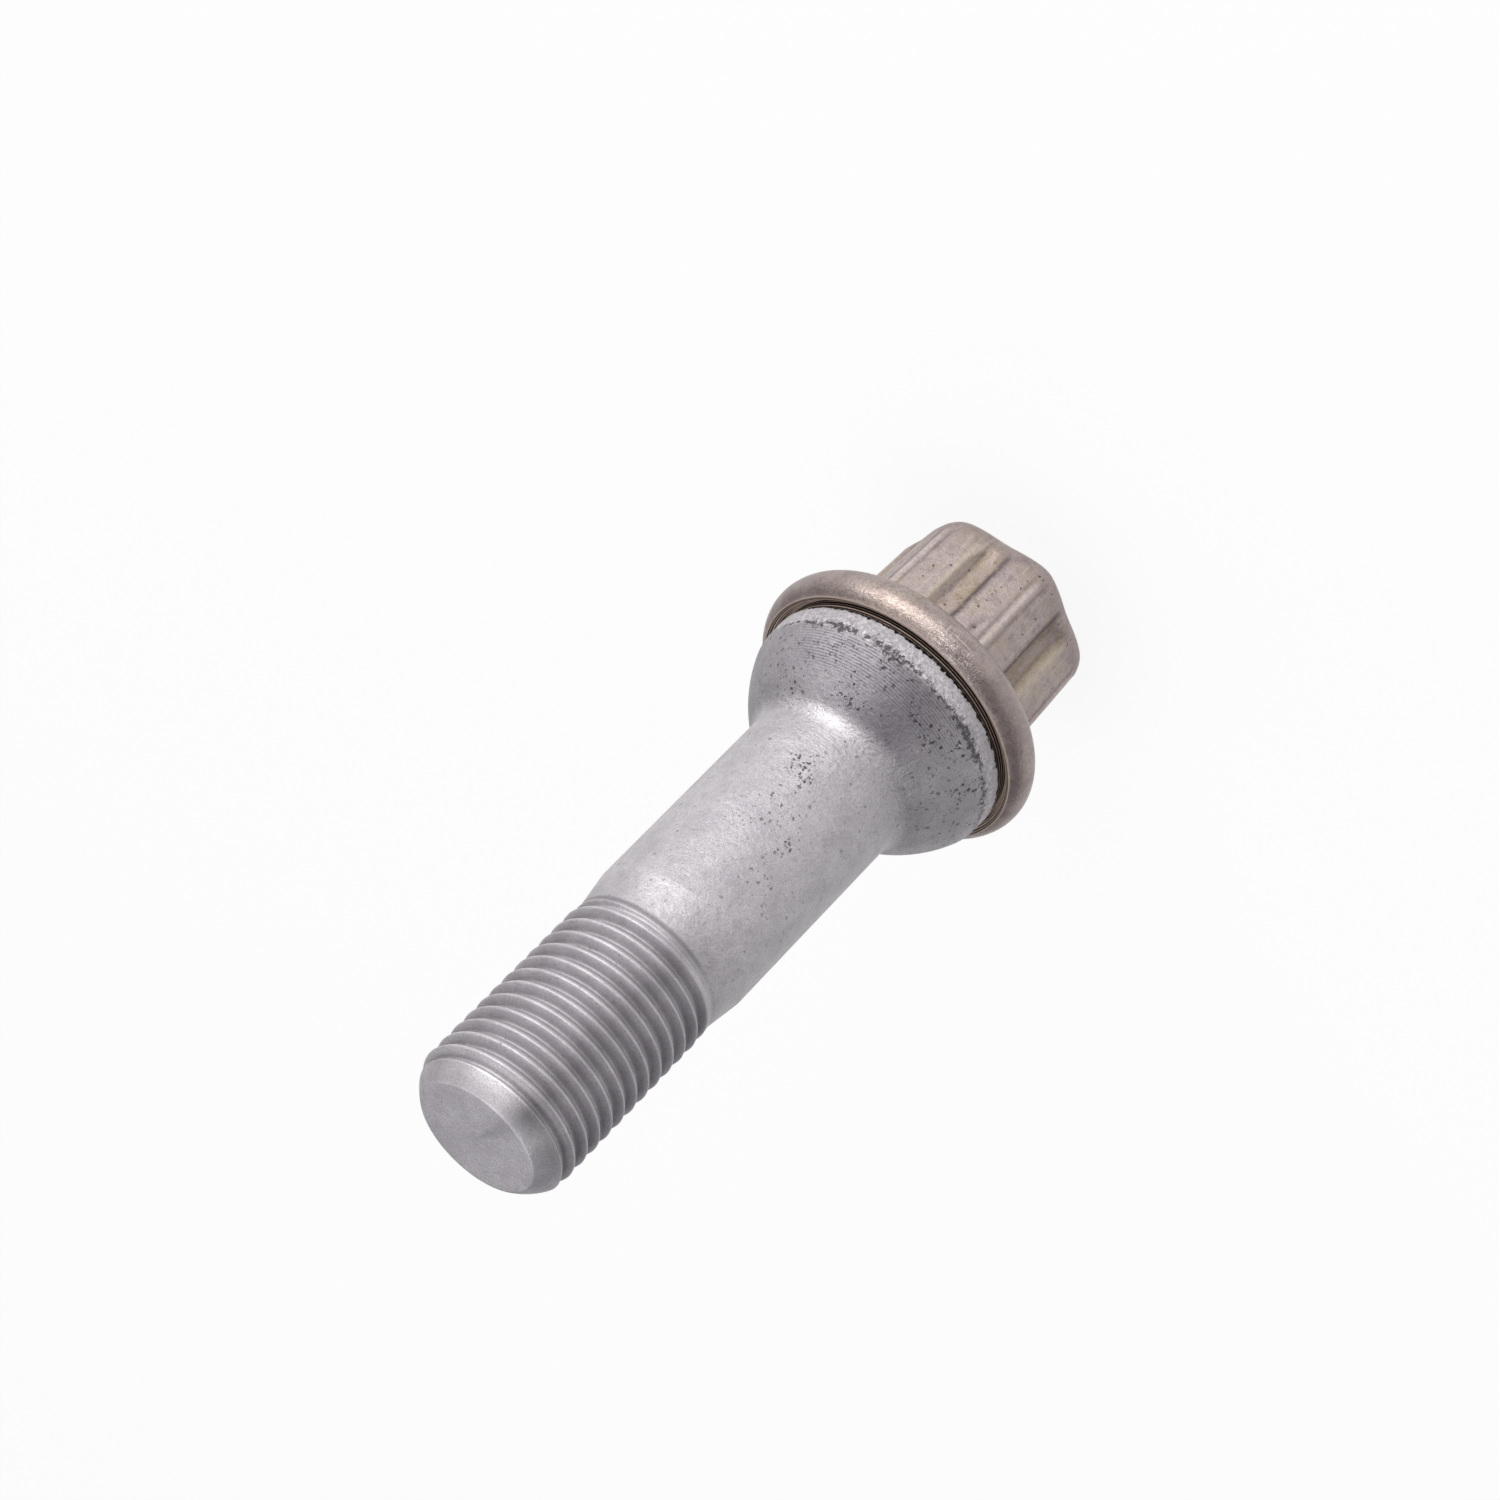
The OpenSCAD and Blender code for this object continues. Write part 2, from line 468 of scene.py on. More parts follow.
def add_cap_outside(shell):
    """The lobed, fluted wall from the end face up to the flange's back."""
    angle = shell.angle

    def wall(distance, z):
        shell.row(fluted(drive.inset(angle, distance), angle, z) + ridge(angle, z), z)

    shell.open(0, drive.inset(angle, END_R), (0.3, 0.65))
    for turn in np.linspace(0, math.pi / 2, 13):
        wall(END_R * (1 - math.sin(turn)), END_R * (1 - math.cos(turn)))
    for z in np.linspace(END_R, FLUTE_NOSE_Z, 7)[1:]:
        wall(0, z)
    for z in np.linspace(FLUTE_NOSE_Z, FLANGE_BACK - BASE_FILLET, 12)[1:]:
        wall(0, z)
    for turn in np.linspace(0, math.pi / 2, 6)[1:]:
        wall(-BASE_FILLET * (1 - math.cos(turn)), FLANGE_BACK - BASE_FILLET * (1 - math.sin(turn)))
    foot = fluted(drive.inset(angle, -BASE_FILLET), angle, FLANGE_BACK)
    for share in (0.35, 0.7):
        shell.row(foot + (ROLL_CENTRE[0] - foot) * share, FLANGE_BACK)


def lip_profile(start):
    """The lip's steps, from the point where the rolled rim ends to the lip's underside."""
    width, rise = (LIP_R - LIP_OUTER_R) / LIP_STEPS, LIP_RISE / LIP_STEPS
    steps = [start]
    for k in range(LIP_STEPS):
        z = start[1] - (k + 1) * rise
        steps += [(LIP_OUTER_R + k * width - LIP_STEP_LEAN, z), (LIP_OUTER_R + (k + 1) * width, z)]
    steps += [(LIP_R, LIP_UNDER), (LIP_R + LIP_INSIDE, LIP_UNDER)]
    return rounded(steps, LIP_EDGE, 2)


def add_flange(shell):
    """The rolled rim, the turned-in lip and the rim's inside."""
    rim_deg = math.degrees(math.acos((LIP_OUTER_R - ROLL_CENTRE[0]) / ROLL_R))
    roll = arc(ROLL_CENTRE, ROLL_R, -90, rim_deg, 30)
    under_deg = math.degrees(math.asin((LIP_UNDER - ROLL_CENTRE[1]) / (ROLL_R - SHEET)))
    shell.rows(joined(roll, lip_profile(roll[-1])))
    shell.rows(arc(ROLL_CENTRE, ROLL_R - SHEET, under_deg, -90, 12))


def add_cap_inside(shell):
    """The inner wall from the flange back down to the end face's inside."""
    angle = shell.angle
    inner_back = FLANGE_BACK + SHEET
    corner = END_R - SHEET
    foot = fluted(drive.inset(angle, SHEET), angle, inner_back, SHEET)
    for share in (0.5, 0.0):
        shell.row(foot + (ROLL_CENTRE[0] - foot) * share, inner_back)
    for z in np.linspace(inner_back, END_R, 12)[1:]:
        shell.row(fluted(drive.inset(angle, SHEET), angle, z, SHEET), z)
    for turn in np.linspace(math.pi / 2, 0, 7)[1:]:
        z = SHEET + corner * (1 - math.cos(turn))
        shell.row(fluted(drive.inset(angle, END_R - corner * math.sin(turn)), angle, z, SHEET), z)
    shell.close(SHEET, drive.inset(angle, END_R), (0.65, 0.3))


def build_cap():
    shell = Shell(even_angles(CAP_COLUMNS))
    add_cap_outside(shell)
    add_flange(shell)
    add_cap_inside(shell)
    return shell.piece("nickel_head_cap")


# Looks that vary over a piece are held as one number per vertex, which its material reads.
# A place on the bolt is given by its turn, in degrees from the line that faces the camera towards the
# picture's lower right, and by its height in millimetres.
CAMERA_AZIMUTH = 7.344
PIT_CLUSTERS = (
    # turn, height, spread, strength
    (-14, 30.0, 1.2, 1.0),
    (-20, 28.6, 0.8, 0.7),
    (-21, 23.0, 0.8, 0.9),
    (-26, 22.0, 0.7, 0.6),
    (-39, 20.3, 0.5, 0.8),
    (-53, 21.8, 0.6, 0.8),
    (-57, 24.0, 1.0, 0.6),
    (-15, 19.6, 0.7, 0.8),
    (6, 21.0, 0.6, 0.7),
    (18, 21.0, 0.8, 0.8),
    (25, 21.4, 0.6, 0.55),
    (31, 19.7, 0.8, 0.8),
    (52, 20.1, 0.9, 0.7),
    (34, 28.8, 0.7, 0.5),
    (11, 36.3, 0.8, 0.6),
    (-4, 26.0, 0.8, 0.5),
    (-8, 33.5, 2.2, 0.35),
    (-21, 37.0, 2.0, 0.3),
    (15, 40.0, 1.6, 0.35),
    (110, 30.0, 1.6, 0.8),
    (-150, 22.0, 1.4, 0.9),
    (150, 20.5, 1.1, 0.9),
    (175, 36.0, 1.8, 0.5),
)
SEAM_PATCHES = (
    # turn and spread in degrees, strength
    (-44, 7, 0.8),
    (-18, 9, 0.9),
    (22, 9, 0.8),
    (35, 8, 0.8),
    (60, 14, 0.5),
    (-140, 25, 0.8),
    (125, 25, 0.8),
)

# Stretches of height, turn or radius: each starts to fade in and is full, then starts to fade out and is
# gone. One of two numbers is only faded in, or only faded out.
ON_BALL = (BAND_TOP, BAND_TOP + 0.3, 23.4, 24.3)
TURNED_Z = (18.9, 19.4, 20.6, 23.2)
TURNED_SIDE = (-70, -40, 5, 40)
DULL_Z = (BAND_TOP, 20.0, 22.5, 24.2)
WRINKLED_Z = (21.5, 23.5, 26.0, 32.0)
# Turns of the ball's painted shade
SHADED_SIDE_TURNS = (-175, -110, -30, 5)
# Heights of the fillet's painted highlight
FILLET_HIGHLIGHT_Z = (23.8, 24.4, 24.5, 26.2)
# Turns past which the grooves' painted shade and dirt grow fainter
FAINTER_GROOVE_SIDE = (15, 40)
ON_THREAD = (RELIEF_Z - 0.5, RELIEF_Z + 0.5)
GROOVE_START_Z = RELIEF_Z + 0.2
GROOVE_END_Z = (TIP_Z + 0.4, TIP_Z + 1.2)
GROOVE_R = (THREAD_R - 0.25, THREAD_R - THREAD_DEPTH)

# Strength of the pits all over the ball, and of the shade painted over its shaded side
BALL_PITS = 0.24
SIDE_SHADE = 0.42

# Soft marks: the middle and the spread of each, in turn or height, and its strength where that isn't 1.
# The ball's and the thread's marks are painted shade, the tip's is a stain, the lead-in's and the fillet's
# are painted highlights, and the relief's is painted shade in its groove.
BALL_SHADE = (3, 22)
THREAD_SHADE = (12, 11, 0.32)
TIP_STAIN, TIP_STAIN_Z = (14, 11, 0.62), (67.6, 0.8)
RIM_HIGHLIGHT, RIM_HIGHLIGHT_Z = (-18, 24), (67.4, 0.8)
FILLET_HIGHLIGHT = (-26, 20, 0.6)
SCUFFED_Z = (BAND_TOP - 0.05, 0.5)
RELIEF_SHADE_Z = (RELIEF_Z + 0.25, 0.28, 1.6)

# Spots on the cap: turn, height and spread
NICK = (-2, 10.7, 0.4)
SCRATCHED = (-1, 15.9, 1.9)
# The flange's golden painted highlight
FLANGE_HIGHLIGHT_SPOT = (-28, 16.2, 3.4)

# Head's flutes, in degrees. An edge lies FLUTE_EDGE_DEG from each crest, with painted shade along it. In
# the two flutes that face the camera, the near edge's painted shade is darkest, and the far side has a line
# of painted shade and a strip of painted highlight: each has its angle from +X, its spread and its strength.
# Past BACK_FROM_DEG, a flute's strips lie at an angle from the crest.
FLUTE_EDGE_DEG = 21.3
EDGE_SPREAD_DEG = 1.9
NEAR_EDGE = (FLUTE_EDGE_DEG, 6, 0.7)
FAR_LINE = (34.8, 1.3, 0.5)
FAR_STRIP = (39.5, 2.2)
BACK_STRIP = (20, 2.0, 0.5)
BACK_FROM_DEG = 60

# Ridge's painted highlight on its top and painted shade on its side: the middle and spread in millimetres
# off the crest
RIDGE_HIGHLIGHT_AT = (0, 0.24)
RIDGE_SHADE_AT = (0.55, 0.16)

# Heights between which the looks of the cap's parts fade in, or out for the rim and the head
RIM_Z = (2.0, 5.0)
FLUTE_Z = (1.5, 3.2)
EDGE_Z = (1.6, 2.8)
STRIP_Z = (1.8, 3.4)
RIDGE_Z = (2.2, 3.6)
HEAD_END_Z = (12.6, 13.1)

# The lip's rings are above this height, and fade away over this width outside the lip.
LIP_FROM_Z = 15.2
LIP_FADE = 0.2


def places(piece):
    """Angle, radius and height of each vertex of a piece, in radians and millimetres."""
    co = np.empty(len(piece.data.vertices) * 3)
    piece.data.vertices.foreach_get("co", co)
    x, y, z = co.reshape(-1, 3).T / MM
    return np.arctan2(y, x), np.hypot(x, y), z


def paint(piece, name, values):
    layer = piece.data.attributes.new(name, "FLOAT", "POINT")
    layer.data.foreach_set("value", np.asarray(values, np.float32))


def bell(value, middle, spread, strength=1.0):
    """The strength at the middle, falling to almost 0 at twice the spread."""
    return strength * np.exp(-(((value - middle) / spread) ** 2))


def window(value, start, full, ending, end):
    """0 up to start, 1 from full to ending, and 0 again from end on."""
    return smooth(start, full, value) * (1 - smooth(ending, end, value))


def blob(angle, radius, z, turn_deg, height, spread):
    """1 at a place on the surface, falling to 0 over the spread."""
    at = math.radians(CAMERA_AZIMUTH - turn_deg)
    across = radius * np.abs((angle - at + np.pi) % (2 * np.pi) - np.pi)
    return np.exp(-(across**2 + (z - height) ** 2) / spread**2)


def paint_bolt(piece):
    angle, radius, z = places(piece)
    turn = np.degrees((math.radians(CAMERA_AZIMUTH) - angle + np.pi) % (2 * np.pi) - np.pi)
    on_ball = window(z, *ON_BALL)
    on_thread = smooth(*ON_THREAD, z)
    paint(piece, "smooth_zone", on_thread)
    # Distance along the ball's section, for its turning marks
    paint(piece, "along", BALL_R * np.arctan2(z - BALL_Z, radius))
    paint(piece, "lines", on_ball * window(z, *TURNED_Z) * (0.2 + 0.8 * window(turn, *TURNED_SIDE)))
    paint(piece, "dull", window(z, *DULL_Z))
    paint(piece, "wrinkled", window(z, *WRINKLED_Z))
    paint(piece, "scuffed", bell(z, *SCUFFED_Z))
    paint(piece, "seam", sum(strength * bell(turn, *patch) for *patch, strength in SEAM_PATCHES))

    pits = sum(strength * blob(angle, radius, z, *spot) for *spot, strength in PIT_CLUSTERS)
    paint(piece, "pits", np.clip(pits, 0, 1) * (1 - on_thread) + BALL_PITS * on_ball)

    # Painted shade over the ball's middle and one side and along the thread, and the tip's stain
    stain_and_shade = on_ball * (SIDE_SHADE * window(turn, *SHADED_SIDE_TURNS) + bell(turn, *BALL_SHADE))
    stain_and_shade += on_thread * bell(turn, *THREAD_SHADE)
    stain_and_shade += bell(turn, *TIP_STAIN) * bell(z, *TIP_STAIN_Z)
    paint(piece, "stain_and_shade", np.clip(stain_and_shade, 0, 1))

    # Painted highlights on the lead-in's rim and along the fillet
    painted_highlight = bell(turn, *RIM_HIGHLIGHT) * bell(z, *RIM_HIGHLIGHT_Z)
    paint(piece, "painted_highlight", painted_highlight + bell(turn, *FILLET_HIGHLIGHT) * window(z, *FILLET_HIGHLIGHT_Z))

    # Painted shade in the relief groove and, with some dirt, in the thread's grooves, fainter on one side
    groove = (z > GROOVE_START_Z) * smooth(*GROOVE_R, radius) * (1 - smooth(*GROOVE_END_Z, z))
    fading_side = 1 - 0.6 * smooth(*FAINTER_GROOVE_SIDE, turn)
    paint(piece, "groove_dirt_and_shade", (groove + bell(z, *RELIEF_SHADE_Z)) * fading_side)


def paint_flutes(piece, angle, z, on_head):
    """The flutes' stained floor, with painted shade on their edges and painted highlights in pale strips.

    The shade and strips are fainter at the back.
    """
    crest_deg = np.degrees(off_crest(angle))
    off_front = np.degrees(np.abs(angle))
    floor = smooth(FLUTE_EDGE_DEG - 1, FLUTE_EDGE_DEG + 2, crest_deg)
    paint(piece, "flute", on_head * floor * smooth(*FLUTE_Z, z))

    # Painted shade along the flutes' edges, darkest at the near edges that face the camera
    near = 0.3 + bell(off_front, *NEAR_EDGE)
    edge = near * bell(crest_deg, FLUTE_EDGE_DEG, EDGE_SPREAD_DEG)
    edge = np.maximum(edge, bell(off_front, *FAR_LINE))
    paint(piece, "flute_edge_shade", on_head * edge * smooth(*EDGE_Z, z))

    back_strip = (off_front > BACK_FROM_DEG) * bell(crest_deg, *BACK_STRIP)
    # Strips of painted highlight on the flutes' far walls
    strip_highlight = np.maximum(bell(off_front, *FAR_STRIP), back_strip)
    paint(piece, "strip_highlight", on_head * strip_highlight * smooth(*STRIP_Z, z))


def paint_cap(piece):
    angle, radius, z = places(piece)
    on_head = 1 - smooth(*HEAD_END_Z, z)
    paint(piece, "head", on_head)
    paint(piece, "rim", 1 - smooth(*RIM_Z, z))
    paint_flutes(piece, angle, z, on_head)

    crest_mm = off_crest(angle) * radius
    above_rim = smooth(*RIDGE_Z, z)
    # Painted highlight along each ridge's top and painted shade along its sides
    paint(piece, "ridge_highlight", on_head * bell(crest_mm, *RIDGE_HIGHLIGHT_AT) * above_rim)
    paint(piece, "ridge_shade", on_head * bell(crest_mm, *RIDGE_SHADE_AT) * above_rim)

    paint(piece, "nick", np.clip(1.6 * blob(angle, radius, z, *NICK) - 0.3, 0, 1))
    paint(piece, "scratches", np.clip(1.5 * blob(angle, radius, z, *SCRATCHED), 0, 1))
    # The flange's golden painted highlight
    paint(piece, "flange_highlight", blob(angle, radius, z, *FLANGE_HIGHLIGHT_SPOT))
    paint(piece, "lip", (z > LIP_FROM_Z) * (1 - smooth(LIP_OUTER_R, LIP_OUTER_R + LIP_FADE, radius)))
    # What grows across the lip's steps, for its rings
    paint(piece, "round", radius + z)


class Tree:
    """A material's nodes, added by calls that take numbers or sockets and return sockets."""

    def __init__(self, name):
        self.material = bpy.data.materials.new(name)
        self.material.use_nodes = True
        self.nodes = self.material.node_tree.nodes
        self.links = self.material.node_tree.links
        self.shader = self.nodes["Principled BSDF"]
        place = self.add("TexCoord").outputs["Object"]
        self.mm = self.scaled(place, 1 / MM)
        self.colour = None

    def add(self, kind, inputs=None, **settings):
        node = self.nodes.new("ShaderNode" + kind)
        for key, value in settings.items():
            setattr(node, key, value)
        for key, value in (inputs or {}).items():
            self.set(node.inputs[key], value)
        return node

    def set(self, socket, value):
        if isinstance(value, bpy.types.NodeSocket):
            self.links.new(value, socket)
        else:
            socket.default_value = value

    def read(self, name):
        return self.add("Attribute", attribute_name=name).outputs["Fac"]

    def math(self, operation, a, b=0.0, clamp=False):
        return self.add("Math", {0: a, 1: b}, operation=operation, use_clamp=clamp).outputs["Value"]

    def times(self, *values):
        product = values[0]
        for value in values[1:]:
            product = self.math("MULTIPLY", product, value)
        return product

    def sum(self, *values):
        total = values[0]
        for value in values[1:]:
            total = self.math("ADD", total, value)
        return total

    def without(self, share):
        """What the share leaves of 1."""
        return self.math("SUBTRACT", 1.0, share)

    def step(self, value, low, high, start=0.0, end=1.0):
        """start where value is under low, end where it is over high, and a smooth change between."""
        inputs = {"Value": value, "From Min": low, "From Max": high, "To Min": start, "To Max": end}
        return self.add("MapRange", inputs, interpolation_type="SMOOTHSTEP").outputs["Result"]

    def scaled(self, vector, scale):
        node = self.add("VectorMath", {"Vector": vector, "Scale": scale}, operation="SCALE")
        return node.outputs["Vector"]

    def noise(self, scale, detail=2.0, roughness=0.5, stretch=None):
        """Noise from 0 to 1 whose patches are about 1 / scale millimetres across."""
        at = self.mm
        if stretch:
            at = self.add("Mapping", {"Vector": at, "Scale": stretch}).outputs["Vector"]
        inputs = {"Vector": at, "Scale": scale, "Detail": detail, "Roughness": roughness}
        return self.add("TexNoise", inputs).outputs["Fac"]

    def wobbled(self, scale, size):
        """The place in millimetres, pushed about by noise of that scale and size."""
        push = self.add("TexNoise", {"Vector": self.mm, "Scale": scale, "Detail": 2.0}).outputs["Color"]
        half = (0.5, 0.5, 0.5)
        centred = self.add("VectorMath", {0: push, 1: half}, operation="SUBTRACT").outputs["Vector"]
        moved = {0: self.mm, 1: self.scaled(centred, size)}
        return self.add("VectorMath", moved, operation="ADD").outputs["Vector"]

    def waves(self, distance, pitch, scale, size):
        """A wave from -1 to 1 along a distance, wavered by noise of that scale and size."""
        wavered = self.sum(distance, self.times(self.noise(scale), size))
        return self.math("SINE", self.times(wavered, 2 * math.pi / pitch))

    def spots(self, cell, largest, density, at):
        """1 in round spots, at most one to a cell of this size. density is the share of cells with one."""
        cells = self.add("TexVoronoi", {"Vector": at, "Scale": 1 / cell}, feature="F1")
        random = self.add("SeparateColor", {"Color": cells.outputs["Color"]})
        chosen = self.step(self.math("SUBTRACT", density, random.outputs[0]), 0.0, 0.08)
        size = self.sum(self.times(random.outputs[1], 0.7), 0.3)
        reach = self.times(size, chosen, largest / cell)
        inside = self.math("SUBTRACT", reach, cells.outputs["Distance"])
        return self.step(inside, 0.0, 0.35 * largest / cell)

    def mix(self, share, a, b):
        node = self.add("Mix", {"Factor": share}, data_type="RGBA")
        self.set(node.inputs["A"], a)
        self.set(node.inputs["B"], b)
        return node.outputs["Result"]

    def coat(self, colour, *shares):
        """Lays a colour over what is there, by the product of these shares."""
        self.colour = self.mix(self.times(*shares), self.colour, colour)

    def relief(self, *heights):
        """A bump from heights in millimetres."""
        bump = self.add("Bump", {"Height": self.sum(*heights), "Distance": MM, "Strength": 1.0})
        return bump.outputs["Normal"]

    def finish(self, **inputs):
        for key, value in inputs.items():
            self.set(self.shader.inputs[key.replace("_", " ")], value)
        return self.material


def rgb(red, green, blue):
    return (red, green, blue, 1.0)


# Bolt's colours. A pair is mixed in clouds, patches or rings.
ZINC = rgb(0.47, 0.445, 0.475), rgb(0.58, 0.555, 0.585)
ZINC_SMUDGE = rgb(0.25, 0.235, 0.25)
# Painted highlight
ZINC_HIGHLIGHT = rgb(0.95, 0.92, 0.95)
ZINC_GRAIN = rgb(0.20, 0.185, 0.20)
ZINC_FLAKE = rgb(0.90, 0.87, 0.90)
# Painted shade on the ball and the thread, and the tip's stain
ZINC_STAIN_AND_SHADE = rgb(0.115, 0.105, 0.12)
TURNING_MARK = rgb(0.11, 0.10, 0.115)
BAND = rgb(0.58, 0.55, 0.585), rgb(0.77, 0.735, 0.775)
SCUFF = rgb(0.19, 0.175, 0.185)
SEAM = rgb(0.05, 0.045, 0.05)
# Painted black shade in the gap under the band
GAP_SHADE = rgb(0.01, 0.008, 0.008)
NECK = rgb(0.045, 0.032, 0.028), rgb(0.92, 0.74, 0.65)
FAINT_SPECK = rgb(0.12, 0.11, 0.12)
PIT = rgb(0.035, 0.03, 0.035)
# Painted shade with some dirt in the grooves
GROOVE_DIRT_AND_SHADE = rgb(0.10, 0.095, 0.105)

# Cap's colours
FLANGE = rgb(0.32, 0.262, 0.25), rgb(0.44, 0.365, 0.348)
HEAD = rgb(0.42, 0.35, 0.345), rgb(0.585, 0.495, 0.48)
FLECK = rgb(0.18, 0.14, 0.125)
# Painted highlight on the flange
FLANGE_HIGHLIGHT = rgb(0.64, 0.52, 0.43)
FLUTE_STAIN = rgb(0.50, 0.41, 0.29)
SMUDGE = rgb(0.20, 0.15, 0.13)
TARNISH = rgb(0.34, 0.28, 0.19)
RIM = rgb(0.27, 0.21, 0.21)
NICK_DARK = rgb(0.03, 0.02, 0.02)
STREAK = rgb(0.68, 0.59, 0.57)
# Painted shade along the flutes' edges
EDGE_SHADE = rgb(0.085, 0.065, 0.062)
# Painted highlight
STRIP_HIGHLIGHT = rgb(0.70, 0.61, 0.49)
# Painted shade and painted highlight on the ridges
RIDGE_SHADE = rgb(0.12, 0.085, 0.08)
RIDGE_HIGHLIGHT = rgb(0.78, 0.69, 0.66)
CAP_GRAIN = rgb(0.15, 0.12, 0.12)
CAP_SPECK = rgb(0.06, 0.045, 0.045)
SCRATCH = rgb(0.92, 0.84, 0.80)
LIP = rgb(0.028, 0.02, 0.018), rgb(0.56, 0.44, 0.37)

# Distance between the turning marks on the ball and between the rings on the neck and lip
TURNING_PITCH = 0.24
RING_PITCH = 0.27

# Heights between which one look of the bolt passes into the next, before noise makes them ragged. Noise
# lifts the seam from its lowest height.
BAND_START_Z = (HEAD_H + 0.01, HEAD_H + 0.06)
BAND_END_Z = (BAND_TOP - 0.5, BAND_TOP - 0.3)
SEAM_LOWEST_Z = BAND_TOP - 0.3
NECK_Z = (HEAD_H - 0.02, HEAD_H - 0.1)
GAP_END_Z = (HEAD_H + 0.5, HEAD_H + 0.3)


def coat_zinc(tree, grain, off_thread):
    """The coating itself: clouded grey, smudged, stained in places and with fine flakes.

    Painted highlights and painted shade lie on it in places.
    """
    tree.colour = tree.mix(tree.step(tree.noise(0.5, 5.0, 0.65), 0.3, 0.7), *ZINC)
    tree.coat(ZINC_SMUDGE, tree.step(tree.noise(1.4, 5.0, 0.7), 0.52, 0.66), off_thread, 0.28)
    # Painted highlights on the lead-in and the fillet
    tree.coat(ZINC_HIGHLIGHT, tree.read("painted_highlight"), 0.8)
    tree.coat(ZINC_GRAIN, tree.step(grain, 0.35, 0.62, 0.42, 0.0))
    tree.coat(ZINC_FLAKE, tree.step(tree.noise(22.0, 2.0, 0.7), 0.5, 0.72, 0.0, 0.40))
    # Painted shade on the ball and the thread, and the tip's stain
    tree.coat(ZINC_STAIN_AND_SHADE, tree.read("stain_and_shade"), 0.74)


def coat_turning_marks(tree):
    """Broken dark lines round the ball. Returns their relief."""
    wave = tree.waves(tree.read("along"), TURNING_PITCH, 0.8, 0.12)
    share = tree.times(tree.read("lines"), tree.step(tree.noise(2.6, 4.0, 0.7), 0.32, 0.58))
    tree.coat(TURNING_MARK, share, tree.step(wave, -0.3, 0.8, 0.0, 0.75))
    return tree.times(wave, share, 0.009)


def coat_band(tree, z, ragged, above_gap):
    """The edge band's pale, clean metal and the scuffed metal round its top. Returns the band's relief."""
    band_end = tree.sum(z, tree.times(ragged, -0.7))
    in_band = tree.times(above_gap, tree.step(band_end, *BAND_END_Z, 1.0, 0.0))
    mottled = tree.step(tree.noise(2.6, 6.0, 0.8), 0.40, 0.58)
    tree.coat(tree.mix(mottled, *BAND), in_band, 0.8)
    tree.coat(SCUFF, tree.step(tree.noise(3.0, 5.0, 0.75), 0.44, 0.56), tree.read("scuffed"), 0.65)
    return tree.times(in_band, mottled, 0.026)


def coat_seam(tree, z, ragged):
    """The broken dark line where the ball starts. Returns its relief."""
    off_seam = tree.math("ABSOLUTE", tree.sum(z, tree.times(tree.noise(0.8), -0.6), -SEAM_LOWEST_Z))
    patch = tree.sum(ragged, tree.times(tree.read("seam"), 0.17), tree.times(off_seam, -0.42))
    broken = tree.step(tree.noise(3.2, 4.0, 0.7), 0.40, 0.50, 0.15, 1.0)
    seam = tree.times(tree.step(patch, 0.47, 0.54), broken)
    tree.coat(SEAM, seam, 0.85)
    return tree.times(seam, -0.06)


def coat_gap(tree, z, ragged, in_gap):
    """Painted black shade in the gap between the bolt and the cap's lip, and the brown ringed neck in it."""
    neck = tree.step(tree.sum(z, tree.times(ragged, 0.3)), *NECK_Z)
    neck_colour = tree.mix(tree.step(tree.waves(z, RING_PITCH, 0.7, 0.08), 0.0, 1.0), *NECK)
    # Painted black shade in the gap, above the neck's rings
    tree.coat(tree.mix(neck, GAP_SHADE, neck_colour), in_gap, tree.step(z, *GAP_END_Z))


def coat_pits(tree, off_thread, in_gap):
    """Specks all over, pits where they crowd, and painted shade with some dirt in the grooves.

    Returns how dark each place is.
    """
    density = tree.read("pits")
    at = tree.wobbled(5.0, 0.42)
    pits = tree.spots(0.36, 0.20, tree.times(density, 0.95), at)
    specks = tree.spots(0.22, 0.10, tree.sum(tree.times(density, 0.7), 0.13), at)
    strength = tree.step(density, 0.0, 0.6, 0.45, 1.0)
    either = tree.math("MAXIMUM", pits, tree.times(specks, 0.8))
    dark = tree.times(either, strength, tree.without(in_gap))
    tree.coat(FAINT_SPECK, tree.spots(0.55, 0.20, 0.30, at), off_thread, 0.50)
    tree.coat(PIT, dark, 0.80)
    tree.coat(GROOVE_DIRT_AND_SHADE, tree.read("groove_dirt_and_shade"), 0.4)
    return dark


